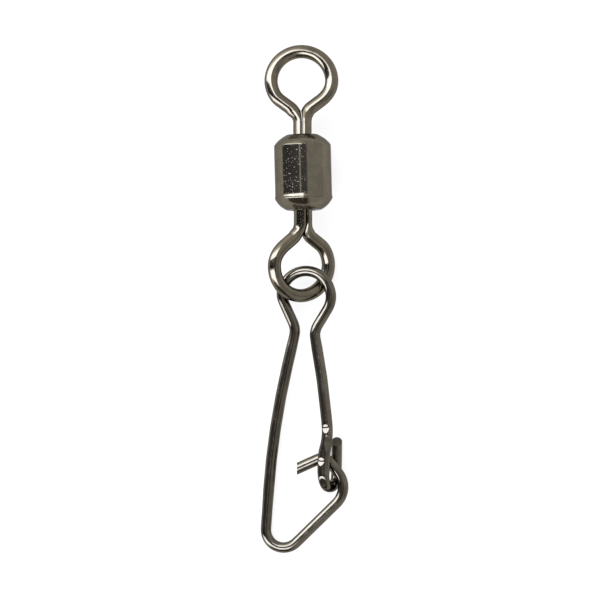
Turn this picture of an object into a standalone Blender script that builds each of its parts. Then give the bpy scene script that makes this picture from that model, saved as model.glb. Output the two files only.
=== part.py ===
"""Fishing snap swivel lying on a flat surface, as it comes to rest.

A turned brass barrel holds the headed shanks of two wire eyes, which turn freely about its axis.
A wire snap hangs in the lower eye: a loop, two arms, a bottom bend, and a hook that locks inside
a U hook. Four pieces. Frame: +X to the right, +Y towards the line eye, +Z up from the surface.
Lengths are in millimetres here and become metres where the meshes are made.
"""

import math

import bmesh
import bpy
from mathutils import Matrix, Vector

# ---------------------------------------------------------------- driving dimensions (mm)
MM = 0.001

AXIS_X = -0.15  # swivel axis, from the middle of the object's width
BARREL_TOP_Y = 16.48
BARREL_BOTTOM_Y = 8.86
BARREL_R = 2.865
BARREL_BULGE_R = 2.90  # raised ring where the lower end was swaged in
BARREL_END_R = 1.62  # flat annular end face
BARREL_WALL = 0.75
BARREL_SIDES = 48
BORE_R = 1.06
CAVITY_R = 2.10

EYE_WIRE_R = 0.67
EYE_RING_R = 3.04  # to the wire's centreline
EYE_FLARE_R = 2.57  # tighter radius where the ring closes towards the shank
EYE_FLARE_FROM = 84.8  # degrees round the ring from its top to where it tightens
EYE_LEG_TURN = 143.2  # degrees that the wire turns from the ring's top to the straight leg
EYE_NECK_R = 1.35  # bend from the leg into the shank
EYE_LEG_X = 0.548  # from the eye's axis to each wire's, where the two start to be pressed together
UPPER_SHIFTS = (-0.155, -0.23)  # the ring's and the neck's offsets from the shank's axis
LOWER_SHIFTS = (-0.165, -0.085)
SHANK_R = 0.925
SHANK_SPLIT = 0.05  # groove between the two pressed wire ends
UPPER_TO_HEAD = 6.63  # ring centre to the shoulder of the head
LOWER_TO_HEAD = 6.74
HEAD_R = 1.62
HEAD_LENGTH = 1.15
UPPER_RING_Y = 21.853
LOWER_RING_Y = 3.39
UPPER_EYE_TURN = -1.5  # degrees about the swivel axis, left side up
LOWER_EYE_TURN = 27.4
UPPER_EYE_DROOP = 8.0  # degrees that its ring sinks to the surface, in the play of its bore
LOWER_EYE_DROOP = 7.2
UPPER_PIVOT_Y = 16.1  # middle of the bore's wall
LOWER_PIVOT_Y = 9.24

SNAP_WIRE_R = 0.53
SNAP_LOOP_R = 2.455
SNAP_LOOP_X = 0.145
SNAP_LOOP_Y = 0.385
HOOK_REACH = 1.12  # from the snap's plane to each leg of the U hook
SNAP_ON_EYE = 0.04  # play between the loop and the eye that it lies on

RING_SIDES = 16

COLLECTION = "snap_swivel"

# ---------------------------------------------------------------- scene
for old in list(bpy.data.objects):
    bpy.data.objects.remove(old, do_unlink=True)

parts = bpy.data.collections.new(COLLECTION)
helpers = bpy.data.collections.new("cutters")
bpy.context.scene.collection.children.link(parts)
bpy.context.scene.collection.children.link(helpers)
helpers.hide_render = True


def material(name, colour, roughness, metallic=1.0):
    made = bpy.data.materials.new(name)
    made.use_nodes = True
    shader = made.node_tree.nodes["Principled BSDF"]
    shader.inputs["Base Color"].default_value = (*colour, 1.0)
    shader.inputs["Roughness"].default_value = roughness
    shader.inputs["Metallic"].default_value = metallic
    made.diffuse_color = (*colour, 1.0)
    return made


BARREL_FINISH = material("barrel_black_nickel", (0.15, 0.14, 0.12), 0.24)
EYE_FINISH = material("eye_black_nickel", (0.16, 0.15, 0.125), 0.2)
SNAP_FINISH = material("snap_black_nickel", (0.14, 0.13, 0.11), 0.18)


def to_object(name, bm, finish, collection=parts):
    mesh = bpy.data.meshes.new(name)
    bm.to_mesh(mesh)
    bm.free()
    mesh.materials.append(finish)
    mesh.shade_smooth()
    mesh.set_sharp_from_angle(angle=math.radians(35))
    made = bpy.data.objects.new(name, mesh)
    collection.objects.link(made)
    return made


# ---------------------------------------------------------------- paths
def walk(start, heading, legs, step):
    """Points of a flat path from its arcs and straights. A leg is (radius, degrees to the left)
    or (None, length)."""
    x, y = start
    a = math.radians(heading)
    found = [(x, y)]
    for radius, amount in legs:
        if radius is None:
            x, y = x + amount * math.cos(a), y + amount * math.sin(a)
            found.append((x, y))
            continue
        turn = math.radians(amount)
        side = math.copysign(1.0, turn)
        cx, cy = x - side * radius * math.sin(a), y + side * radius * math.cos(a)
        count = max(2, round(abs(amount) / step))
        for i in range(1, count + 1):
            b = a + turn * i / count
            found.append((cx + side * radius * math.sin(b), cy - side * radius * math.cos(b)))
        a += turn
        x, y = found[-1]
    return found


def filleted(corners, step):
    """Points of a wire drawn as straight lines between corners, each with its bend radius."""
    spots = [Vector(c[:3]) for c in corners]
    found = [spots[0]]
    for i in range(1, len(spots) - 1):
        back = (spots[i - 1] - spots[i]).normalized()
        ahead = (spots[i + 1] - spots[i]).normalized()
        between = back.angle(ahead)
        radius = corners[i][3]
        reach = radius / math.tan(between / 2)
        middle = spots[i] + (back + ahead).normalized() * radius / math.sin(between / 2)
        first = spots[i] + back * reach - middle
        last = spots[i] + ahead * reach - middle
        turn = math.pi - between
        count = max(2, math.ceil(math.degrees(turn) / step))
        for k in range(count + 1):
            t = k / count
            found.append(
                middle
                + (first * math.sin((1 - t) * turn) + last * math.sin(t * turn)) / math.sin(turn)
            )
    found.append(spots[-1])
    tidy = [found[0]]
    for spot in found[1:]:
        if (spot - tidy[-1]).length > 0.02:
            tidy.append(spot)
    return tidy


# ---------------------------------------------------------------- barrel
def barrel_profile():
    """Half section, down the outside from the top face's bore edge, then up the inside."""
    top, bottom = BARREL_TOP_Y, BARREL_BOTTOM_Y
    outside = [
        (BORE_R, top),
        (BARREL_END_R, top),
        (2.19, top - 0.36),
        (2.62, top - 0.78),
        (2.80, top - 1.02),
        (BARREL_R, top - 1.22),
        (BARREL_R, bottom + 1.68),
        (BARREL_BULGE_R, bottom + 1.42),
        (BARREL_BULGE_R, bottom + 1.16),
        (2.82, bottom + 0.98),
        (2.52, bottom + 0.62),
        (2.10, bottom + 0.20),
        (BARREL_END_R + 0.13, bottom),
        (BORE_R, bottom),
    ]
    inside = [
        (BORE_R, bottom + BARREL_WALL),
        (CAVITY_R - 0.25, bottom + BARREL_WALL),
        (CAVITY_R, bottom + BARREL_WALL + 0.3),
        (CAVITY_R, top - BARREL_WALL - 0.3),
        (CAVITY_R - 0.25, top - BARREL_WALL),
        (BORE_R, top - BARREL_WALL),
    ]
    return outside + inside


def turned(name, profile, finish, sides, collection=parts):
    """A closed profile of (radius, height) turned about Z with a Screw modifier."""
    bm = bmesh.new()
    dots = [bm.verts.new((r * MM, 0.0, y * MM)) for r, y in profile]
    for one, two in zip(dots, dots[1:] + dots[:1]):
        bm.edges.new((one, two))
    made = to_object(name, bm, finish, collection)
    screw = made.modifiers.new("turn", "SCREW")
    screw.axis = "Z"
    screw.steps = sides
    screw.render_steps = sides
    screw.use_merge_vertices = True
    screw.merge_threshold = 0.000001
    screw.use_smooth_shade = True
    return made


AXIS_Z = BARREL_BULGE_R * math.cos(math.pi / BARREL_SIDES)
barrel = turned("barrel", barrel_profile(), BARREL_FINISH, BARREL_SIDES)
# The profile's height runs along +Y, and a flat of the faceted barrel faces down.
barrel.matrix_world = (
    Matrix.Translation(Vector((AXIS_X, 0.0, AXIS_Z)) * MM)
    @ Matrix.Rotation(math.radians(-90), 4, "X")
    @ Matrix.Rotation(math.pi / BARREL_SIDES, 4, "Z")
)


# ---------------------------------------------------------------- eyes
def smooth(t):
    t = min(1.0, max(0.0, t))
    return t * t * (3 - 2 * t)


def leg_path(to_head):
    """Half of an eye in its own plane: from the ring's top, round its right side, down the leg
    and into the shank. The ring's centre is at 0, 0."""
    flare_reach = EYE_RING_R - EYE_FLARE_R
    first_turn = EYE_FLARE_FROM
    leg_turn = EYE_LEG_TURN
    legs = [(EYE_RING_R, -first_turn), (EYE_FLARE_R, first_turn - leg_turn)]
    ring = walk((0.0, EYE_RING_R), 0.0, legs, 6.0)
    x, y = ring[-1]
    a = math.radians(-leg_turn)
    neck_x = EYE_LEG_X + EYE_NECK_R * (1 - math.cos(math.radians(leg_turn - 90)))
    straight = (x - neck_x) / -math.cos(a)
    path = walk(
        (x, y), -leg_turn, [(None, straight * 0.5), (None, straight * 0.5), (EYE_NECK_R, leg_turn - 90)], 7.0
    )
    x, y = path[-1]
    end = -(to_head + HEAD_LENGTH * 0.5)
    assert flare_reach > 0 and end < y
    return ring + path[1:] + [(x, y - 0.5), (x, end)]


def bend_shift(y, shifts):
    """How far a bent eye is off its shank's axis: at the ring, at the neck, none in the shank."""
    ring, neck = shifts
    down = smooth((-0.6 - y) / 1.4)
    return (ring + (neck - ring) * down) * (1 - smooth((-2.9 - y) / 1.3))


def eye_place(turn, ring_y, flip, droop):
    """Where an eye's own plane goes, in millimetres: turned about the swivel axis, sunk about
    the middle of its bore, and end for end for the lower one."""
    sink = math.radians(-droop if flip else droop)
    pivot = LOWER_PIVOT_Y if flip else UPPER_PIVOT_Y
    place = Matrix.Translation(Vector((AXIS_X, pivot, AXIS_Z)))
    place = place @ Matrix.Rotation(-sink, 4, "X") @ Matrix.Rotation(math.radians(turn), 4, "Y")
    place = place @ Matrix.Translation(Vector((0.0, (ring_y - pivot) / math.cos(sink), 0.0)))
    return place @ Matrix.Rotation(math.pi, 4, "X") if flip else place


def half_round(b):
    """Where the wire's point at angle b, measured from its outer side, goes on the pressed half
    round: over the arc as far as the edge, and then evenly along the flat."""
    edge = 2 * math.pi * (RING_SIDES * 0.25 + 0.5) / RING_SIDES
    if abs(b) <= edge + 1e-6:
        turn = b / edge * math.pi / 2
        return max(SHANK_SPLIT / 2, SHANK_R * math.cos(turn)), SHANK_R * math.sin(turn)
    left = (math.pi - abs(b)) / (math.pi - edge)
    return SHANK_SPLIT / 2, math.copysign(SHANK_R * left, b)


def eye_sections(shifts, to_head):
    """Rings of points for one eye's whole wire, from one shank end round to the other. Each
    section is round in the ring and half round in the shank, where the two ends are pressed
    together with only a groove between them."""
    half = leg_path(to_head)
    path = [(-x, y) for x, y in reversed(half)] + half[1:]
    neck_top = -3.1
    neck_end = -4.2
    rings = []
    for i, (x, y) in enumerate(path):
        before, after = path[max(0, i - 1)], path[min(len(path) - 1, i + 1)]
        along = Vector((after[0] - before[0], after[1] - before[1])).normalized()
        out = Vector((-along[1], along[0]))  # to the outside of the ring
        side = -1.0 if x < 0 else 1.0
        pressed = smooth((neck_top - y) / (neck_top - neck_end))
        shift = bend_shift(y, shifts)
        ring = []
        for k in range(RING_SIDES):
            b = 2 * math.pi * (k + 0.5) / RING_SIDES
            b = b - 2 * math.pi if b > math.pi else b
            px = x + out[0] * EYE_WIRE_R * math.cos(b)
            py = y + out[1] * EYE_WIRE_R * math.cos(b)
            half_x, half_z = half_round(b)
            fx = px + (side * half_x - px) * pressed
            fz = EYE_WIRE_R * math.sin(b) * (1 - pressed) + half_z * pressed
            if y < 0 and abs(x) < 1.6:
                fx = side * max(side * fx, SHANK_SPLIT / 2)
            ring.append(Vector((fx + shift, py, fz)))
        rings.append(ring)
    return rings


def swept(rings):
    bm = bmesh.new()
    rows = [[bm.verts.new(p * MM) for p in ring] for ring in rings]
    for one, two in zip(rows, rows[1:]):
        for k in range(len(one)):
            m = (k + 1) % len(one)
            bm.faces.new((one[k], one[m], two[m], two[k]))
    bm.faces.new(list(reversed(rows[0])))
    bm.faces.new(rows[-1])
    bmesh.ops.recalc_face_normals(bm, faces=bm.faces)
    return bm


def headed_eye(name, turn, ring_y, flip, shifts, to_head, droop):
    """The eye's wire joined to the head upset on its shank, in the swivel's frame."""
    wire = to_object(name, swept(eye_sections(shifts, to_head)), EYE_FINISH)
    shoulder = -to_head
    profile = [
        (0.0, shoulder),
        (HEAD_R - 0.12, shoulder),
        (HEAD_R, shoulder - 0.12),
        (HEAD_R, shoulder - HEAD_LENGTH + 0.35),
        (HEAD_R - 0.35, shoulder - HEAD_LENGTH),
        (0.0, shoulder - HEAD_LENGTH),
    ]
    bm = bmesh.new()
    dots = [bm.verts.new((r * MM, 0.0, y * MM)) for r, y in profile]
    for one, two in zip(dots, dots[1:]):
        bm.edges.new((one, two))
    head = to_object(name + "_head", bm, EYE_FINISH, helpers)
    screw = head.modifiers.new("turn", "SCREW")
    screw.axis = "Z"
    screw.steps = 32
    screw.render_steps = 32
    screw.use_merge_vertices = True
    screw.merge_threshold = 0.000001
    head.matrix_world = Matrix.Rotation(math.radians(-90), 4, "X")
    head.hide_render = True
    head.display_type = "WIRE"
    join = wire.modifiers.new("head", "BOOLEAN")
    join.operation = "UNION"
    join.solver = "EXACT"
    join.object = head
    place = eye_place(turn, ring_y, flip, droop)
    place.translation *= MM
    wire.matrix_world = place
    head.matrix_world = place @ head.matrix_world
    return wire


upper_eye = headed_eye(
    "upper_eye", UPPER_EYE_TURN, UPPER_RING_Y, False, UPPER_SHIFTS, UPPER_TO_HEAD, UPPER_EYE_DROOP
)
lower_eye = headed_eye("lower_eye", LOWER_EYE_TURN, LOWER_RING_Y, True, LOWER_SHIFTS, LOWER_TO_HEAD, LOWER_EYE_DROOP)


# ---------------------------------------------------------------- snap
def snap_corners():
    """The snap's wire as corners (x, y, height above the snap's own plane, bend radius), from the
    hook's cut end round to the end of the U hook."""
    loop = []
    half_turn = math.radians(22.5)
    for degrees in (135, 90, 45):
        b = math.radians(degrees)
        out = SNAP_LOOP_R / math.cos(half_turn)
        x, y = SNAP_LOOP_X + out * math.cos(b), SNAP_LOOP_Y + out * math.sin(b)
        loop.append((x, y, 0.0, SNAP_LOOP_R * 0.995))
    return (
        [
            (-0.76, -16.93, 0.0, 0.0),  # hook, cut end
            (2.05, -15.68, 0.0, 0.85),  # hook, inside the U
            (4.65, -18.96, 0.0, 2.25),  # right bend
            (-4.17, -27.55, 0.0, 1.78),  # bottom bend
            (-3.18, -12.80, 0.0, 80.0),  # left arm, slightly bowed
            (-0.85, -2.95, 0.0, 2.0),  # left side of the neck
            (-2.44, 0.56, 0.0, 1.9),  # left side of the loop
        ]
        + loop
        + [
            (2.94, 0.05, 0.0, 2.4),  # right side of the loop
            (0.96, -3.21, 0.05, 1.8),  # right side of the neck
            (1.84, -7.94, 0.50, 82.0),  # right arm
            (2.34, -13.50, HOOK_REACH - 0.05, 6.0),
            (1.93, -15.80, HOOK_REACH, 8.0),
            (1.88, -18.78, HOOK_REACH, 1.2),  # U hook, front
            (3.19, -18.78, -HOOK_REACH, 1.2),  # U hook, back
            (3.25, -13.85, -HOOK_REACH, 0.0),  # its cut end
        ]
    )


def eye_line(turn, ring_y, flip, shifts, droop):
    """The placed centreline of an eye's wire."""
    half = leg_path(LOWER_TO_HEAD)
    place = eye_place(turn, ring_y, flip, droop)
    line = []
    for x, y in [(-x, y) for x, y in reversed(half)] + half[1:]:
        line.append(place @ Vector((x + bend_shift(y, shifts), y, 0.0)))
    return line


def closest(points, line):
    """The nearest approach of a set of points to a line of points: distance, point, spot."""
    best = (1e9, None, None)
    for p in points:
        for one, two in zip(line, line[1:]):
            t = (p - one).dot(two - one) / (two - one).length_squared
            spot = one + (two - one) * min(1.0, max(0.0, t))
            if (p - spot).length < best[0]:
                best = ((p - spot).length, p, spot)
    return best


def slopes(contacts):
    """The plane z = c + a x + b y through three (x, y, z)."""
    (x1, y1, z1), (x2, y2, z2), (x3, y3, z3) = contacts
    det = (x2 - x1) * (y3 - y1) - (x3 - x1) * (y2 - y1)
    a = ((z2 - z1) * (y3 - y1) - (z3 - z1) * (y2 - y1)) / det
    b = ((x2 - x1) * (z3 - z1) - (x3 - x1) * (z2 - z1)) / det
    return a, b, z1 - a * x1 - b * y1


def snap_path():
    """The snap's centreline where it comes to rest: its bottom bend and the back leg of its U
    hook lie on the surface, and the right side of its loop lies on the lower eye."""
    flat = filleted(snap_corners(), 9.0)
    eye = eye_line(LOWER_EYE_TURN, LOWER_RING_Y, True, LOWER_SHIFTS, LOWER_EYE_DROOP)
    a, b, c, lift = 0.1, 0.07, 0.0, 0.0
    for _ in range(12):
        placed = [Vector((p[0], p[1], c + a * p[0] + b * p[1] + p[2])) for p in flat]
        low = min((q for q, p in zip(placed, flat) if p[2] > -0.1), key=lambda q: q[2])
        leg = min((q for q, p in zip(placed, flat) if p[2] <= -0.1), key=lambda q: q[2])
        right = [q for q in placed if q[0] > 0.4 and q[1] > -0.6]
        gap, on, spot = closest(right, eye)
        under = Vector((spot[0], spot[1], 0.0)) - Vector((on[0], on[1], 0.0))
        wanted = EYE_WIRE_R + SNAP_WIRE_R + SNAP_ON_EYE
        height = spot[2] + math.sqrt(max(0.0, wanted**2 - under.length_squared))
        leg_depth = leg[2] - (c + a * leg[0] + b * leg[1])
        a, b, c = slopes(
            (
                (low[0], low[1], SNAP_WIRE_R),
                (leg[0], leg[1], SNAP_WIRE_R - leg_depth),
                (on[0], on[1], height),
            )
        )
    return placed


def wire_object(name, points, radius, finish):
    curve = bpy.data.curves.new(name, "CURVE")
    curve.dimensions = "3D"
    curve.bevel_depth = radius * MM
    curve.bevel_resolution = 3
    curve.use_fill_caps = True
    curve.twist_mode = "MINIMUM"
    spline = curve.splines.new("POLY")
    spline.points.add(len(points) - 1)
    for dot, p in zip(spline.points, points):
        dot.co = (*(p * MM), 1.0)
    drawn = bpy.data.objects.new(name + "_line", curve)
    helpers.objects.link(drawn)
    bpy.context.view_layer.update()
    graph = bpy.context.evaluated_depsgraph_get()
    mesh = bpy.data.meshes.new_from_object(drawn.evaluated_get(graph))
    mesh.name = name
    bm = bmesh.new()
    bm.from_mesh(mesh)
    bmesh.ops.remove_doubles(bm, verts=bm.verts, dist=0.000001)
    bmesh.ops.recalc_face_normals(bm, faces=bm.faces)
    made = to_object(name, bm, finish)
    made.matrix_world = drawn.matrix_world
    bpy.data.objects.remove(drawn, do_unlink=True)
    return made


snap = wire_object("snap", snap_path(), SNAP_WIRE_R, SNAP_FINISH)
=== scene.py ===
"""Looks of a fishing snap swivel that lies on a pale surface, seen from straight above.

Four finely made pieces stand for the four solids of the frame: the turned barrel, the two wire
eyes and the bent wire snap. All are polished black nickel over brass or steel. Lengths are in
millimetres here and become metres where the meshes are made.
"""

import math

import bmesh
import bpy
import numpy as np
from mathutils import Matrix, Quaternion, Vector


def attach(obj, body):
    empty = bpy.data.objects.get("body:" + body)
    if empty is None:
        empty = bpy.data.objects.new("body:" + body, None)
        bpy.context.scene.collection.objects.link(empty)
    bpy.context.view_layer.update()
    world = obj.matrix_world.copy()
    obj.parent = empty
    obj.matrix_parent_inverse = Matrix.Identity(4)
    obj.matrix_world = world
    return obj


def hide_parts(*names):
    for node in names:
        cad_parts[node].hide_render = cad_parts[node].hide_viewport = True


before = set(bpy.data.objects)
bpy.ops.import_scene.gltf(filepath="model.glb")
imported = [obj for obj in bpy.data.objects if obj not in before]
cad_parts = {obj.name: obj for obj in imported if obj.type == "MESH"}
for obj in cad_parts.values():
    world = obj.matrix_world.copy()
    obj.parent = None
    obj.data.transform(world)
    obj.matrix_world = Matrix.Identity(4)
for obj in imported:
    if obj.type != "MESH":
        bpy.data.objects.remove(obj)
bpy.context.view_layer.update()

MM = 0.001

# ---------------------------------------------------------------- dimensions shared with the frame (mm)
AXIS_X = -0.15
AXIS_Z = 2.90 * math.cos(math.pi / 48)

EYE_WIRE_R = 0.67
EYE_RING_R = 3.04
EYE_FLARE_R = 2.57
EYE_FLARE_FROM = 84.8
EYE_LEG_TURN = 143.2
EYE_NECK_R = 1.35
EYE_LEG_X = 0.548
UPPER_SHIFTS = (-0.155, -0.23, -0.05)  # of the ring, the neck and the shank
LOWER_SHIFTS = (-0.165, -0.085, 0.015)
SHANK_R = 0.925
SHANK_SPLIT = 0.05
GROOVE_R = 0.22  # rounds each half over to the groove between them
UPPER_TO_HEAD = 6.63
LOWER_TO_HEAD = 6.74
HEAD_R = 1.62
HEAD_LENGTH = 1.15
UPPER_RING_Y = 21.853
LOWER_RING_Y = 3.39
LOWER_EYE_TURN = 27.4
UPPER_EYE_TURN = -1.5
UPPER_EYE_DROOP = 8.0  # its far side sinks towards the surface, as the play in the bore lets it
LOWER_EYE_DROOP = 7.2
UPPER_PIVOT_Y = 16.1
LOWER_PIVOT_Y = 9.24

SNAP_WIRE_R = 0.53
SNAP_LOOP_R = 2.455
SNAP_LOOP_X = 0.145
SNAP_LOOP_Y = 0.385
HOOK_REACH = 1.12
SNAP_ON_EYE = 0.04

# the barrel as it sits on its play, a little crooked to the eyes
BARREL_CENTRE = (-0.135, 12.665)
BARREL_LEAN = 1.45
BARREL_BORE_R = 1.11

WIRE_SIDES = 48


# ---------------------------------------------------------------- paths
def smooth(t):
    t = min(1.0, max(0.0, t))
    return t * t * (3 - 2 * t)


def walk(start, heading, legs, step):
    """Points of a flat path from its arcs and straights. A leg is (radius, degrees to the left)
    or (None, length)."""
    x, y = start
    a = math.radians(heading)
    found = [(x, y)]
    for radius, amount in legs:
        if radius is None:
            count = max(1, round(abs(amount) / 0.25))
            for i in range(1, count + 1):
                found.append((x + amount * math.cos(a) * i / count, y + amount * math.sin(a) * i / count))
            x, y = found[-1]
            continue
        turn = math.radians(amount)
        side = math.copysign(1.0, turn)
        cx, cy = x - side * radius * math.sin(a), y + side * radius * math.cos(a)
        count = max(2, round(abs(amount) / step))
        for i in range(1, count + 1):
            b = a + turn * i / count
            found.append((cx + side * radius * math.sin(b), cy - side * radius * math.cos(b)))
        a += turn
        x, y = found[-1]
    return found


def filleted(corners, step):
    """Points of a wire drawn as straight lines between corners, each with its bend radius."""
    spots = [Vector(c[:3]) for c in corners]
    found = [spots[0]]
    for i in range(1, len(spots) - 1):
        back = (spots[i - 1] - spots[i]).normalized()
        ahead = (spots[i + 1] - spots[i]).normalized()
        between = back.angle(ahead)
        radius = corners[i][3]
        reach = radius / math.tan(between / 2)
        middle = spots[i] + (back + ahead).normalized() * radius / math.sin(between / 2)
        first = spots[i] + back * reach - middle
        last = spots[i] + ahead * reach - middle
        turn = math.pi - between
        count = max(2, math.ceil(math.degrees(turn) / step))
        for k in range(count + 1):
            t = k / count
            found.append(
                middle + (first * math.sin((1 - t) * turn) + last * math.sin(t * turn)) / math.sin(turn)
            )
    found.append(spots[-1])
    tidy = [found[0]]
    for spot in found[1:]:
        if (spot - tidy[-1]).length > 0.02:
            tidy.append(spot)
    return tidy


def respaced(points, gap):
    """The same line with points an even distance apart, and its bends eased a little."""
    length = [0.0]
    for one, two in zip(points, points[1:]):
        length.append(length[-1] + (two - one).length)
    count = max(2, round(length[-1] / gap))
    found, k = [], 0
    for i in range(count + 1):
        at = length[-1] * i / count
        while k < len(points) - 2 and length[k + 1] < at:
            k += 1
        span = max(1e-9, length[k + 1] - length[k])
        found.append(points[k].lerp(points[k + 1], min(1.0, (at - length[k]) / span)))
    for _ in range(3):
        eased = [found[0]]
        for i in range(1, len(found) - 1):
            eased.append(found[i] * 0.5 + (found[i - 1] + found[i + 1]) * 0.25)
        found = eased + [found[-1]]
    return found


def curved(points, parts):
    """A smooth line of (x, y) through its key points."""
    keys = [Vector(p) for p in points]
    keys = [keys[0] * 2 - keys[1]] + keys + [keys[-1] * 2 - keys[-2]]
    found = []
    for p0, p1, p2, p3 in zip(keys, keys[1:], keys[2:], keys[3:]):
        for k in range(parts):
            t = k / parts
            found.append(
                p1
                + (p2 - p0) * 0.5 * t
                + (p0 * 2 - p1 * 5 + p2 * 4 - p3) * 0.5 * t * t
                + (p1 * 3 - p0 - p2 * 3 + p3) * 0.5 * t * t * t
            )
    found.append(keys[-2])
    return found


# ---------------------------------------------------------------- meshes
def to_object(name, verts, faces, uvs, sharp=40.0):
    """A mesh object from millimetre points. uvs gives each face's corners (mm along, mm round)."""
    mesh = bpy.data.meshes.new(name)
    mesh.from_pydata([tuple(v * MM) for v in verts], [], faces)
    layer = mesh.uv_layers.new(name="wrap")
    flat = [c for face in uvs for uv in face for c in uv]
    layer.data.foreach_set("uv", flat)
    mesh.validate()
    mesh.update()
    bm = bmesh.new()
    bm.from_mesh(mesh)
    bmesh.ops.recalc_face_normals(bm, faces=bm.faces)
    bm.to_mesh(mesh)
    bm.free()
    mesh.shade_smooth()
    mesh.set_sharp_from_angle(angle=math.radians(sharp))
    made = bpy.data.objects.new(name, mesh)
    bpy.context.scene.collection.objects.link(made)
    return made


def tube(name, rings, length, girth, caps=True, sharp=40.0):
    """A closed skin over rings of points, with the ends filled."""
    sides = len(rings[0])
    verts = [p for ring in rings for p in ring]
    faces, uvs = [], []
    for i in range(len(rings) - 1):
        for k in range(sides):
            m = (k + 1) % sides
            faces.append((i * sides + k, i * sides + m, (i + 1) * sides + m, (i + 1) * sides + k))
            v0, v1 = girth * k / sides, girth * (k + 1) / sides
            uvs.append(((length[i], v0), (length[i], v1), (length[i + 1], v1), (length[i + 1], v0)))
    if caps:
        for row, back in ((0, True), (len(rings) - 1, False)):
            ring = rings[row]
            middle = sum(ring, Vector()) / sides
            hub = len(verts)
            verts.append(middle)
            for k in range(sides):
                m = (k + 1) % sides
                one, two = row * sides + k, row * sides + m
                faces.append((hub, two, one) if back else (hub, one, two))
                uvs.append(((0.0, 0.0), (0.1, 0.0), (0.1, 0.1)))
    return to_object(name, verts, faces, uvs, sharp)


def lengths(points):
    found = [0.0]
    for one, two in zip(points, points[1:]):
        found.append(found[-1] + (two - one).length)
    return found


# ---------------------------------------------------------------- barrel
def barrel_profile():
    """Half section of the barrel: (radius, distance along it from its middle), down its outside
    and back up inside."""

    def at(row):  # a row of the drawing, ten to the millimetre, to a distance from the middle
        return (172.4 - row) / 10

    outside = curved(
        [
            (1.46, at(134.75)),
            (1.58, at(134.95)),
            (1.87, at(136.5)),
            (2.18, at(138.5)),
            (2.43, at(140.5)),
            (2.63, at(142.5)),
            (2.775, at(144.3)),
            (2.838, at(145.4)),
            (2.853, at(146.5)),
            (2.855, at(151.0)),
        ],
        5,
    ) + curved(
        [
            (2.852, at(189.0)),
            (2.851, at(193.8)),
            (2.857, at(195.1)),
            (2.871, at(196.3)),
            (2.887, at(197.4)),
            (2.893, at(198.1)),
            (2.886, at(198.8)),
            (2.852, at(199.6)),
            (2.790, at(200.7)),
            (2.685, at(202.3)),
            (2.530, at(204.3)),
            (2.330, at(206.3)),
            (2.070, at(208.3)),
            (1.800, at(209.9)),
            (1.640, at(210.35)),
            (1.540, at(210.4)),
        ],
        5,
    )
    top, bottom = at(134.75), at(210.4)
    bore = BARREL_BORE_R
    inside = [
        (bore + 0.16, bottom),
        (bore + 0.05, bottom + 0.06),
        (bore, bottom + 0.18),
        (bore, bottom + 0.42),
        (bore + 0.30, bottom + 0.75),
        (1.85, bottom + 0.80),
        (2.10, bottom + 1.05),
        (2.10, top - 1.05),
        (1.85, top - 0.80),
        (bore + 0.30, top - 0.75),
        (bore, top - 0.42),
        (bore, top - 0.18),
        (bore + 0.05, top - 0.06),
        (bore + 0.16, top),
    ]
    return [(p[0], p[1]) for p in outside] + inside


def make_barrel():
    sides = 192
    profile = barrel_profile()
    lean = Matrix.Rotation(math.radians(BARREL_LEAN), 4, "Z")
    place = Matrix.Translation((BARREL_CENTRE[0], BARREL_CENTRE[1], AXIS_Z)) @ lean
    verts, faces, uvs = [], [], []
    along = lengths([Vector((r, y, 0)) for r, y in profile] + [Vector((*profile[0], 0))])
    count = len(profile)
    for r, y in profile:
        for k in range(sides):
            b = 2 * math.pi * k / sides
            verts.append(place @ Vector((r * math.sin(b), y, r * math.cos(b))))
    for i in range(count):
        j = (i + 1) % count
        for k in range(sides):
            m = (k + 1) % sides
            faces.append((i * sides + k, i * sides + m, j * sides + m, j * sides + k))
            v0, v1 = 17.9 * k / sides, 17.9 * (k + 1) / sides
            uvs.append(((along[i], v0), (along[i], v1), (along[i + 1], v1), (along[i + 1], v0)))
    return to_object("turned_barrel", verts, faces, uvs, 28.0)


# ---------------------------------------------------------------- eyes
def leg_path(to_head):
    """Half of an eye in its own plane: from the ring's top, round its right side, down the leg
    and into the shank. The ring's centre is at 0, 0."""
    first_turn = EYE_FLARE_FROM
    leg_turn = EYE_LEG_TURN
    ring = walk((0.0, EYE_RING_R), 0.0, [(EYE_RING_R, -first_turn), (EYE_FLARE_R, first_turn - leg_turn)], 2.5)
    x, y = ring[-1]
    a = math.radians(-leg_turn)
    neck_x = EYE_LEG_X + EYE_NECK_R * (1 - math.cos(math.radians(leg_turn - 90)))
    straight = (x - neck_x) / -math.cos(a)
    path = walk((x, y), -leg_turn, [(None, straight), (EYE_NECK_R, leg_turn - 90)], 3.0)
    x, y = path[-1]
    end = -(to_head + HEAD_LENGTH * 0.5)
    shank = [(x, y + (end - y) * i / 24) for i in range(1, 25)]
    return ring + path[1:] + shank


def bend_shift(y, shifts):
    """How far a bent eye is off the swivel's axis: at the ring, at the neck, in the shank."""
    ring, neck, shank = shifts
    down = smooth((-0.6 - y) / 1.4)
    straight = smooth((-2.9 - y) / 1.3)
    return (ring + (neck - ring) * down) * (1 - straight) + shank * straight


def eye_place(turn, ring_y, flip, droop):
    """Where an eye's own plane goes, in millimetres: turned about the swivel axis, sunk about the
    middle of its bore, and end for end for the lower one."""
    sink = math.radians(-droop if flip else droop)
    pivot = LOWER_PIVOT_Y if flip else UPPER_PIVOT_Y
    place = Matrix.Translation(Vector((AXIS_X, pivot, AXIS_Z)))
    place = place @ Matrix.Rotation(-sink, 4, "X") @ Matrix.Rotation(math.radians(turn), 4, "Y")
    place = place @ Matrix.Translation(Vector((0, (ring_y - pivot) / math.cos(sink), 0)))
    return place @ Matrix.Rotation(math.pi, 4, "X") if flip else place


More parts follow.
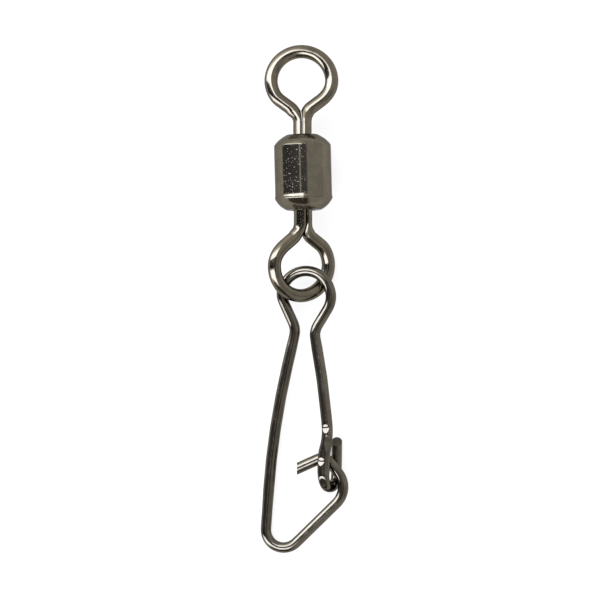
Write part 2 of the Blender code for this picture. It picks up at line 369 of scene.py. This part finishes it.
def half_round(b):
    """Where the wire's point at angle b, measured from its outer side, goes on the pressed half
    round: over the arc, round the corner into the groove, and then evenly along the flat."""
    edge, flat = math.pi * 0.50, math.pi * 0.82
    middle_x = SHANK_SPLIT / 2 + GROOVE_R
    middle_z = math.sqrt((SHANK_R - GROOVE_R) ** 2 - middle_x**2)
    meet = math.atan2(middle_z, middle_x)
    if abs(b) <= edge:
        turn = b / edge * meet
        return SHANK_R * math.cos(turn), SHANK_R * math.sin(turn)
    if abs(b) <= flat:
        turn = meet + (abs(b) - edge) / (flat - edge) * (math.pi - meet)
        return middle_x + GROOVE_R * math.cos(turn), math.copysign(middle_z + GROOVE_R * math.sin(turn), b)
    left = (math.pi - abs(b)) / (math.pi - flat)
    return SHANK_SPLIT / 2, math.copysign(middle_z * left, b)


def eye_rings(shifts, to_head):
    half = leg_path(to_head)
    path = [(-x, y) for x, y in reversed(half)] + half[1:]
    neck_top, neck_end = -3.1, -4.2
    rings = []
    for i, (x, y) in enumerate(path):
        before, after = path[max(0, i - 1)], path[min(len(path) - 1, i + 1)]
        along = Vector((after[0] - before[0], after[1] - before[1])).normalized()
        out = Vector((-along[1], along[0]))
        side = -1.0 if x < 0 else 1.0
        pressed = smooth((neck_top - y) / (neck_top - neck_end))
        shift = bend_shift(y, shifts)
        ring = []
        for k in range(WIRE_SIDES):
            b = 2 * math.pi * (k + 0.5) / WIRE_SIDES
            b = b - 2 * math.pi if b > math.pi else b
            px = x + out[0] * EYE_WIRE_R * math.cos(b)
            py = y + out[1] * EYE_WIRE_R * math.cos(b)
            half_x, half_z = half_round(b)
            fx = px + (side * half_x - px) * pressed
            fz = EYE_WIRE_R * math.sin(b) * (1 - pressed) + half_z * pressed
            if y < 0 and abs(x) < 1.6:
                fx = side * max(side * fx, SHANK_SPLIT / 2)
            ring.append(Vector((fx + shift, py, fz)))
        rings.append(ring)
    return rings, [Vector((x, y, 0)) for x, y in path]


def make_eye(name, turn, ring_y, flip, shifts, to_head, droop):
    """The eye's wire joined to the head upset on its shank, in the swivel's frame."""
    rings, line = eye_rings(shifts, to_head)
    wire = tube(name, rings, lengths(line), 2 * math.pi * EYE_WIRE_R)
    shoulder = -to_head
    profile = [
        (0.0, shoulder),
        (HEAD_R - 0.12, shoulder),
        (HEAD_R - 0.03, shoulder - 0.03),
        (HEAD_R, shoulder - 0.12),
        (HEAD_R, shoulder - HEAD_LENGTH + 0.35),
        (HEAD_R - 0.12, shoulder - HEAD_LENGTH + 0.12),
        (HEAD_R - 0.35, shoulder - HEAD_LENGTH),
        (0.0, shoulder - HEAD_LENGTH),
    ]
    bm = bmesh.new()
    dots = [bm.verts.new((r * MM, 0.0, y * MM)) for r, y in profile]
    for one, two in zip(dots, dots[1:]):
        bm.edges.new((one, two))
    bmesh.ops.spin(
        bm, geom=bm.verts[:] + bm.edges[:], cent=(0, 0, 0), axis=(0, 0, 1), angle=2 * math.pi, steps=64, use_merge=True
    )
    bmesh.ops.remove_doubles(bm, verts=bm.verts, dist=1e-7)
    bmesh.ops.rotate(bm, verts=bm.verts, cent=(0, 0, 0), matrix=Matrix.Rotation(math.radians(-90), 3, "X"))
    bmesh.ops.recalc_face_normals(bm, faces=bm.faces)
    mesh = bpy.data.meshes.new(name + "_head")
    bm.to_mesh(mesh)
    bm.free()
    head = bpy.data.objects.new(name + "_head", mesh)
    bpy.context.scene.collection.objects.link(head)
    join = wire.modifiers.new("head", "BOOLEAN")
    join.operation = "UNION"
    join.solver = "EXACT"
    join.object = head
    bpy.context.view_layer.update()
    graph = bpy.context.evaluated_depsgraph_get()
    joined = bpy.data.meshes.new_from_object(wire.evaluated_get(graph))
    wire.modifiers.clear()
    wire.data = joined
    bpy.data.objects.remove(head, do_unlink=True)
    place = eye_place(turn, ring_y, flip, droop)
    place.translation *= MM
    joined.transform(place)
    joined.shade_smooth()
    joined.set_sharp_from_angle(angle=math.radians(40))
    joined.name = name
    return wire


# ---------------------------------------------------------------- snap
def snap_corners():
    """The snap's wire as corners (x, y, height above the snap's own plane, bend radius), from the
    hook's cut end round to the end of the U hook."""
    loop = []
    half_turn = math.radians(22.5)
    for degrees in (135, 90, 45):
        b = math.radians(degrees)
        out = SNAP_LOOP_R / math.cos(half_turn)
        x, y = SNAP_LOOP_X + out * math.cos(b), SNAP_LOOP_Y + out * math.sin(b)
        loop.append((x, y, 0.0, SNAP_LOOP_R * 0.995))
    return (
        [
            (-0.76, -16.93, 0.0, 0.0),  # hook, cut end
            (2.05, -15.68, 0.0, 0.85),  # hook, inside the U
            (4.65, -18.96, 0.0, 2.25),  # right bend
            (-4.17, -27.55, 0.0, 1.78),  # bottom bend
            (-3.14, -12.80, 0.0, 80.0),  # left arm, slightly bowed
            (-0.85, -2.95, 0.0, 2.0),  # left side of the neck
            (-2.44, 0.56, 0.0, 1.9),  # left side of the loop
        ]
        + loop
        + [
            (2.94, 0.05, 0.0, 2.4),  # right side of the loop
            (0.96, -3.21, 0.05, 1.8),  # right side of the neck
            (1.84, -7.94, 0.50, 82.0),  # right arm
            (2.34, -13.50, HOOK_REACH - 0.05, 6.0),
            (1.93, -15.80, HOOK_REACH, 8.0),
            (1.88, -18.78, HOOK_REACH, 1.2),  # U hook, front
            (3.19, -18.78, -HOOK_REACH, 1.2),  # U hook, back
            (3.25, -13.85, -HOOK_REACH, 0.0),  # its cut end
        ]
    )


def eye_line(turn, ring_y, flip, shifts, droop):
    """The placed centreline of an eye's wire, as coarse as the frame's."""
    bends = [(EYE_RING_R, -EYE_FLARE_FROM), (EYE_FLARE_R, EYE_FLARE_FROM - EYE_LEG_TURN)]
    ring = walk((0.0, EYE_RING_R), 0.0, bends, 6.0)
    place = eye_place(turn, ring_y, flip, droop)
    line = []
    for x, y in [(-x, y) for x, y in reversed(ring)] + ring[1:]:
        line.append(place @ Vector((x + bend_shift(y, shifts), y, 0.0)))
    return line


def closest(points, line):
    best = (1e9, None, None)
    for p in points:
        for one, two in zip(line, line[1:]):
            t = (p - one).dot(two - one) / (two - one).length_squared
            spot = one + (two - one) * min(1.0, max(0.0, t))
            if (p - spot).length < best[0]:
                best = ((p - spot).length, p, spot)
    return best


def slopes(contacts):
    """The plane z = c + a x + b y through three (x, y, z)."""
    (x1, y1, z1), (x2, y2, z2), (x3, y3, z3) = contacts
    det = (x2 - x1) * (y3 - y1) - (x3 - x1) * (y2 - y1)
    a = ((z2 - z1) * (y3 - y1) - (z3 - z1) * (y2 - y1)) / det
    b = ((x2 - x1) * (z3 - z1) - (x3 - x1) * (z2 - z1)) / det
    return a, b, z1 - a * x1 - b * y1


def snap_plane():
    """The plane that the snap comes to rest in: its bottom bend and the back leg of its U hook lie
    on the surface, and the right side of its loop lies on the lower eye."""
    flat = filleted(snap_corners(), 9.0)
    eye = eye_line(LOWER_EYE_TURN, LOWER_RING_Y, True, LOWER_SHIFTS, LOWER_EYE_DROOP)
    a, b, c = 0.1, 0.07, 0.0
    for _ in range(12):
        placed = [Vector((p[0], p[1], c + a * p[0] + b * p[1] + p[2])) for p in flat]
        low = min((q for q, p in zip(placed, flat) if p[2] > -0.1), key=lambda q: q[2])
        leg = min((q for q, p in zip(placed, flat) if p[2] <= -0.1), key=lambda q: q[2])
        right = [q for q in placed if q[0] > 0.4 and q[1] > -0.6]
        _gap, on, spot = closest(right, eye)
        under = Vector((spot[0], spot[1], 0.0)) - Vector((on[0], on[1], 0.0))
        wanted = EYE_WIRE_R + SNAP_WIRE_R + SNAP_ON_EYE
        height = spot[2] + math.sqrt(max(0.0, wanted**2 - under.length_squared))
        leg_depth = leg[2] - (c + a * leg[0] + b * leg[1])
        a, b, c = slopes(
            (
                (low[0], low[1], SNAP_WIRE_R),
                (leg[0], leg[1], SNAP_WIRE_R - leg_depth),
                (on[0], on[1], height),
            )
        )
    return a, b, c


# places where pliers flattened the front leg: middle y, half length, the side they face, how deep
# and how abruptly each one ends
PRESSES = (
    (-13.01, 0.30, (-0.34, 0.25, 0.91), 0.77, 14),
    (-14.75, 1.05, (0.24, 0.02, 0.97), 0.83, 4),
    (-16.40, 0.36, (-0.44, 0.25, 0.87), 0.80, 14),
    (-17.90, 0.62, (-0.22, -0.53, 0.82), 0.86, 3),
)
HOOK_CUT_X = -0.75
LEG_CUT = (-14.19, 0.88)  # y of the cut face's middle, and its slope


def pressed_ring(flat, middle, ring, anchors):
    """A wire section of the U hook's front leg as the tool left it."""
    if flat[2] < 0.5 or not -18.6 < flat[1] < -12.0:
        return ring
    wide = smooth((-14.3 - flat[1]) / 1.0) * (1 - smooth((-17.0 - flat[1]) / 1.2))
    found = []
    for p in ring:
        off = p - middle
        p = middle + Vector((off[0] * (1 + 0.10 * wide), off[1], off[2] * (1 - 0.10 * wide)))
        for (at, half, facing, depth, power), anchor in zip(PRESSES, anchors):
            if abs(flat[1] - at) <= half:
                face = Vector(facing).normalized()
                eased = depth + (1 - depth) * abs((flat[1] - at) / half) ** power
                over = (p - anchor).dot(face) - SNAP_WIRE_R * eased
                if over > 0:
                    p = p - face * over
        found.append(p)
    return found


def cut_ends(rings, tangents):
    """Both ends of the wire sheared off at a slant."""
    reach = 6
    start = [Vector(p) for p in rings[0]]
    for i in range(reach):
        share = 1 - i / reach
        for k, p in enumerate(start):
            rings[i][k] = rings[i][k] + tangents[0] * ((HOOK_CUT_X - p[0]) / tangents[0][0] * share)
    end = [Vector(p) for p in rings[-1]]
    middle = sum(end, Vector()) / len(end)
    for i in range(reach):
        share = 1 - i / reach
        for k, p in enumerate(end):
            wanted = LEG_CUT[0] - LEG_CUT[1] * (p[2] - middle[2])
            rings[-1 - i][k] = rings[-1 - i][k] + tangents[-1] * ((wanted - p[1]) / tangents[-1][1] * share)


def make_snap():
    a, b, c = snap_plane()
    flat = respaced(filleted(snap_corners(), 3.0), 0.14)
    line = [Vector((p[0], p[1], c + a * p[0] + b * p[1] + p[2])) for p in flat]
    count = len(line)
    along = lengths(line)
    tangents = []
    for i in range(count):
        tangents.append((line[min(count - 1, i + 1)] - line[max(0, i - 1)]).normalized())
    # a frame carried along the wire without twist: u starts towards the viewer
    up = Vector((0, 0, 1))
    up = (up - tangents[0] * up.dot(tangents[0])).normalized()
    anchors = []
    for press in PRESSES:
        front = [i for i in range(count) if flat[i][2] > 0.5]
        anchors.append(line[min(front, key=lambda i: abs(flat[i][1] - press[0]))])
    rings = []
    for i in range(count):
        if i:
            turn = tangents[i - 1].rotation_difference(tangents[i])
            up = turn @ up
            up = (up - tangents[i] * up.dot(tangents[i])).normalized()
        across = tangents[i].cross(up).normalized()
        x, y, z = flat[i]  # the arms are rolled a little flat
        rolled = smooth((-3.8 - y) / 1.2) * (1 - smooth((-18.6 - y) / 2.5))
        rolled = 1 + 0.055 * rolled * (1 - smooth((x - 2.3) / 0.6)) * smooth((z + 0.9) / 0.7)
        ring = []
        for k in range(WIRE_SIDES):
            d = 2 * math.pi * k / WIRE_SIDES
            ring.append(line[i] + across * SNAP_WIRE_R * rolled * math.cos(d) + up * SNAP_WIRE_R * math.sin(d))
        rings.append(pressed_ring(flat[i], line[i], ring, anchors))
    cut_ends(rings, tangents)
    return tube("wire_snap", rings, along, 2 * math.pi * SNAP_WIRE_R)


# ---------------------------------------------------------------- node helpers
class Nodes:
    """Short calls to build a node tree's sums."""

    def __init__(self, tree):
        self.tree = tree

    def put(self, node, index, value):
        if value is None:
            return
        if isinstance(value, bpy.types.NodeSocket):
            self.tree.links.new(value, node.inputs[index])
        else:
            node.inputs[index].default_value = value

    def math(self, operation, one, two=None, three=None, clamp=False):
        node = self.tree.nodes.new("ShaderNodeMath")
        node.operation = operation
        node.use_clamp = clamp
        self.put(node, 0, one)
        self.put(node, 1, two)
        self.put(node, 2, three)
        return node.outputs[0]

    def add(self, *terms):
        total = terms[0]
        for term in terms[1:]:
            total = self.math("ADD", total, term)
        return total

    def mul(self, *terms):
        total = terms[0]
        for term in terms[1:]:
            total = self.math("MULTIPLY", total, term)
        return total

    def ramp(self, value, low, high, to_low=0.0, to_high=1.0):
        """From to_low at low to to_high at high, smoothly, and level beyond."""
        node = self.tree.nodes.new("ShaderNodeMapRange")
        node.interpolation_type = "SMOOTHSTEP"
        node.clamp = True
        self.put(node, 0, value)
        self.put(node, 1, low)
        self.put(node, 2, high)
        self.put(node, 3, to_low)
        self.put(node, 4, to_high)
        return node.outputs[0]

    def between(self, value, low, high, soft):
        """1 between low and high, with edges that fade over 2 soft."""
        up = self.ramp(self.math("SUBTRACT", value, low), -soft, soft)
        down = self.ramp(self.math("SUBTRACT", value, high), -soft, soft, 1.0, 0.0)
        return self.mul(up, down)

    def mix(self, factor, one, two, blend="MIX"):
        node = self.tree.nodes.new("ShaderNodeMix")
        node.data_type = "RGBA"
        node.blend_type = blend
        self.put(node, 0, factor)
        self.put(node, 6, one)
        self.put(node, 7, two)
        return node.outputs[2]

    def grey(self, value):
        node = self.tree.nodes.new("ShaderNodeCombineColor")
        for index in range(3):
            self.put(node, index, value)
        return node.outputs[0]

    def noise(self, vector, scale, detail=2.0, roughness=0.5, distortion=0.0):
        node = self.tree.nodes.new("ShaderNodeTexNoise")
        self.put(node, "Vector", vector)
        node.inputs["Scale"].default_value = scale
        node.inputs["Detail"].default_value = detail
        node.inputs["Roughness"].default_value = roughness
        node.inputs["Distortion"].default_value = distortion
        return node.outputs[0]

    def stretched(self, vector, scale, turn=0.0):
        node = self.tree.nodes.new("ShaderNodeMapping")
        self.put(node, 0, vector)
        node.inputs["Scale"].default_value = scale
        node.inputs["Rotation"].default_value = (0.0, 0.0, turn)
        return node.outputs[0]

    def bump(self, height, strength, distance, normal=None):
        node = self.tree.nodes.new("ShaderNodeBump")
        node.inputs["Strength"].default_value = strength
        node.inputs["Distance"].default_value = distance
        self.put(node, "Height", height)
        if normal is not None:
            self.put(node, "Normal", normal)
        return node.outputs[0]


# ---------------------------------------------------------------- materials
def black_nickel(name, colour, roughness, specks, scratches, rough_patch=0.06, dull_ends=None):
    """Polished black nickel plating: a dark warm mirror with fine pits, drawing or turning marks
    and slightly clouded patches."""
    made = bpy.data.materials.new(name)
    made.use_nodes = True
    tree = made.node_tree
    shader = tree.nodes["Principled BSDF"]
    n = Nodes(tree)
    coords = tree.nodes.new("ShaderNodeTexCoord")
    place = coords.outputs["Object"]
    wrap_node = tree.nodes.new("ShaderNodeUVMap")
    wrap_node.uv_map = "wrap"
    wrap = wrap_node.outputs["UV"]

    cloud = n.noise(place, 900.0, 3.0, 0.6)
    grain = n.noise(place, 5200.0, 2.0, 0.5)
    pits = n.noise(place, 7500.0, 0.0, 0.5)
    fine = n.noise(place, 12500.0, 1.0, 0.5)
    lines = n.noise(n.stretched(wrap, (0.9, 14.0, 1.0)), 1.6, 3.0, 0.6)
    cross_lines = n.noise(n.stretched(wrap, (5.0, 1.2, 1.0), 0.6), 3.0, 3.0, 0.65)

    speck = n.ramp(pits, 0.715, 0.775)

    light = tuple(min(1.0, c * 1.09) for c in colour)
    dark = tuple(c * 0.90 for c in colour)
    base = n.mix(n.ramp(cloud, 0.35, 0.65), (*dark, 1.0), (*light, 1.0))
    base = n.mix(n.mul(n.ramp(grain, 0.62, 0.78), 0.25), base, (*[c * 0.7 for c in colour], 1.0))
    tree.links.new(base, shader.inputs["Base Color"])
    shader.inputs["Metallic"].default_value = 1.0

    dull = n.add(
        n.ramp(cloud, 0.45, 0.72, 0.0, rough_patch),
        n.ramp(lines, 0.5, 0.75, 0.0, 0.05),
        n.mul(speck, 0.28 * specks),
        roughness,
    )
    if dull_ends:
        split = tree.nodes.new("ShaderNodeSeparateXYZ")
        tree.links.new(place, split.inputs[0])
        low, high, amount = dull_ends
        ends = n.add(
            n.ramp(split.outputs[1], (low - 0.25) * MM, (low + 0.15) * MM, amount, 0.0),
            n.ramp(split.outputs[1], (high - 0.15) * MM, (high + 0.5) * MM, 0.0, amount),
        )
        dull = n.add(dull, ends)
    tree.links.new(dull, shader.inputs["Roughness"])

    shader.inputs["Specular Tint"].default_value = (0.51, 0.51, 0.53, 1.0)

    # sparse pits stand against a fine ripple of drawing marks
    height = n.add(n.mul(n.ramp(lines, 0.3, 0.8), scratches), n.mul(cross_lines, scratches * 0.5))
    height = n.add(height, n.mul(speck, 0.3 * specks), n.mul(grain, 0.06 * specks), n.mul(fine, 0.06 * specks))
    normal = n.bump(height, 1.0, 0.00001)
    tree.links.new(normal, shader.inputs["Normal"])
    return made


BARREL_FINISH = black_nickel("barrel_black_nickel", (0.138, 0.122, 0.089), 0.055, 1.0, 0.03, 0.04, (9.35, 15.6, 0.14))
EYE_FINISH = black_nickel("eye_black_nickel", (0.136, 0.118, 0.086), 0.07, 0.5, 0.12)
SNAP_FINISH = black_nickel("snap_black_nickel", (0.115, 0.101, 0.077), 0.06, 0.3, 0.12)
# the sheared ends of the snap wire: rougher and pitted, and their darker colour is painted shade for the shade the cut
# faces lie in
SHADED_CUT_END_FINISH = black_nickel("cut_wire_end_painted_shade", (0.068, 0.060, 0.048), 0.20, 3.0, 1.2)


def finish_with(piece, material, body, node):
    piece.data.materials.clear()
    piece.data.materials.append(material)
    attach(piece, body)
    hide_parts(node)


finish_with(make_barrel(), BARREL_FINISH, "barrel", "barrel")
finish_with(
    make_eye("line_eye", UPPER_EYE_TURN, UPPER_RING_Y, False, UPPER_SHIFTS, UPPER_TO_HEAD, UPPER_EYE_DROOP),
    EYE_FINISH,
    "upper_eye",
    "upper_eye",
)
finish_with(
    make_eye("snap_eye", LOWER_EYE_TURN, LOWER_RING_Y, True, LOWER_SHIFTS, LOWER_TO_HEAD, LOWER_EYE_DROOP),
    EYE_FINISH,
    "lower_eye",
    "lower_eye",
)
wire_snap = make_snap()
finish_with(wire_snap, SNAP_FINISH, "snap", "snap")
# the wire's cut ends take the finish that carries their painted shade
wire_snap.data.materials.append(SHADED_CUT_END_FINISH)
for face in wire_snap.data.polygons:
    if len(face.vertices) == 3:  # only the ends are filled with triangles
        face.material_index = 1


# ---------------------------------------------------------------- surroundings
def make_world():
    """A light tent: pale all round, with two long soft lights side by side overhead and a dark
    gap between them, which the polished wire mirrors as bright and dark lines. Directions are
    measured in degrees from straight up: x to the right, y to the top."""
    world = bpy.data.worlds.new("light_tent")
    bpy.context.scene.world = world
    world.use_nodes = True
    tree = world.node_tree
    tree.nodes.clear()
    n = Nodes(tree)
    coords = tree.nodes.new("ShaderNodeTexCoord")
    split = tree.nodes.new("ShaderNodeSeparateXYZ")
    tree.links.new(coords.outputs["Generated"], split.inputs[0])
    dx, dy, dz = split.outputs
    flat = n.math("SQRT", n.add(n.mul(dx, dx), n.mul(dy, dy), 1e-9))
    polar = n.math("DEGREES", n.math("ARCTAN2", flat, dz))
    x = n.mul(polar, n.math("DIVIDE", dx, flat))
    y = n.mul(polar, n.math("DIVIDE", dy, flat))
    west = n.math("MAXIMUM", n.mul(x, -1.0), 0.0)
    mottle = n.noise(coords.outputs["Generated"], 19.0, 3.0, 0.65)

    # pale walls: brighter to the left, and dark below the lower light
    wall = n.add(n.ramp(x, -30.0, 12.0, 1.8, 0.95), n.ramp(x, -115.0, -35.0, 1.9, 0.0))
    glow = n.mul(n.between(y, 38.0, 60.0, 10.0), n.ramp(x, -30.0, 6.0, 1.0, 0.0))
    wall = n.add(wall, n.mul(glow, 1.2))
    below = n.mul(n.between(x, -62.0, 19.0, 8.0), n.between(y, -108.0, -50.0, 4.5))
    shade = n.mul(n.between(x, 4.0, 74.0, 8.0), n.between(y, -34.0, 0.0, 4.0))

    # the light at the top of the picture and the one at the bottom
    top_low = n.add(n.mul(west, 0.04), 14.0)
    top_high = n.add(n.mul(west, 0.04), 41.0)
    top_end = n.math("SUBTRACT", 3.0, n.mul(y, 0.22))
    far = n.ramp(x, -86.0, -46.0, 0.50, 1.0)
    fade = n.ramp(n.add(far, n.mul(mottle, 0.55)), 0.75, 1.25, 0.42, 1.0)
    top_light = n.mul(
        n.ramp(n.math("SUBTRACT", y, top_low), -2.5, 2.5),
        n.ramp(n.math("SUBTRACT", y, top_high), -5.0, 6.0, 1.0, 0.0),
        n.between(x, -96.0, top_end, 5.0),
    )
    low_high = n.add(n.mul(west, -0.02), -16.0)
    low_low = n.add(n.mul(west, 0.02), -45.0)
    low_light = n.mul(
        n.ramp(n.math("SUBTRACT", y, low_high), -2.5, 2.5, 1.0, 0.0),
        n.ramp(n.math("SUBTRACT", y, low_low), -5.0, 4.0),
        n.between(x, -92.0, -1.0, 5.0),
    )
    gap = n.mul(n.between(y, n.add(low_high, -3.0), n.add(top_low, 3.0), 2.0), n.between(x, -99.0, 16.0, 4.0))
    seam = n.mul(n.between(x, -14.5, -9.5, 1.2), n.between(y, -9.0, 8.0, 1.5))
    dark = n.mul(n.ramp(y, -10.0, 9.0, 0.10, 0.31), n.ramp(x, -60.0, -30.0, 0.75, 1.0))

    level = n.mul(wall, n.math("SUBTRACT", 1.0, n.mul(shade, 0.30)))
    colour = n.mix(1.0, n.grey(level), (1.0, 1.0, 1.02, 1.0), "MULTIPLY")
    colour = n.mix(n.mul(below, 0.95), colour, (0.13, 0.105, 0.10, 1.0))
    colour = n.mix(gap, colour, n.mix(1.0, n.grey(dark), (0.97, 1.0, 1.18, 1.0), "MULTIPLY"))
    colour = n.mix(n.mul(seam, 0.75), colour, (1.7, 1.7, 1.7, 1.0))
    colour = n.mix(n.mul(top_light, fade), colour, (8.6, 9.3, 11.2, 1.0))
    colour = n.mix(n.mul(low_light, fade), colour, (8.2, 8.8, 10.6, 1.0))
    background = tree.nodes.new("ShaderNodeBackground")
    tree.links.new(colour, background.inputs["Color"])
    background.inputs["Strength"].default_value = 1.0
    out = tree.nodes.new("ShaderNodeOutputWorld")
    tree.links.new(background.outputs[0], out.inputs["Surface"])


make_world()

mesh = bpy.data.meshes.new("floor")
bm = bmesh.new()
bmesh.ops.create_grid(bm, x_segments=1, y_segments=1, size=30.0)
bm.to_mesh(mesh)
bm.free()
floor = bpy.data.objects.new("floor", mesh)
floor.location = (0.0, 0.0, -0.00001)
bpy.context.scene.collection.objects.link(floor)
floor_finish = bpy.data.materials.new("pale_floor")
floor_finish.use_nodes = True
tree = floor_finish.node_tree
shader = tree.nodes["Principled BSDF"]
n = Nodes(tree)
place = tree.nodes.new("ShaderNodeTexCoord").outputs["Object"]
tree.links.new(
    n.mix(n.noise(place, 60.0, 3.0), (0.124, 0.120, 0.108, 1.0), (0.130, 0.126, 0.113, 1.0)), shader.inputs["Base Color"]
)
shader.inputs["Roughness"].default_value = 0.9
shader.inputs["Specular IOR Level"].default_value = 0.0
shader.inputs["Emission Color"].default_value = (1.0, 1.0, 1.0, 1.0)
shader.inputs["Emission Strength"].default_value = 0.86
mesh.materials.append(floor_finish)

# ---------------------------------------------------------------- camera
AIM = Vector((-0.44, -0.125, 2.894)) * MM
CAMERA_FROM = Vector((-0.44, -43.1, 800.0)) * MM  # above the near end, so it looks a little along the barrel
PICTURE_WIDTH = 60.0 * MM  # across the object
lens = bpy.data.cameras.new("camera")
lens.sensor_width = 36.0
lens.lens = 36.0 * (AIM - CAMERA_FROM).length / PICTURE_WIDTH * 1.0014
lens.clip_start = 0.1
lens.clip_end = 100.0
camera = bpy.data.objects.new("camera", lens)
camera.location = CAMERA_FROM
camera.rotation_mode = "QUATERNION"
camera.rotation_quaternion = (AIM - CAMERA_FROM).to_track_quat("-Z", "Y")
bpy.context.scene.collection.objects.link(camera)
bpy.context.scene.camera = camera

bpy.context.scene.view_settings.view_transform = "Standard"

bpy.context.view_layer.update()
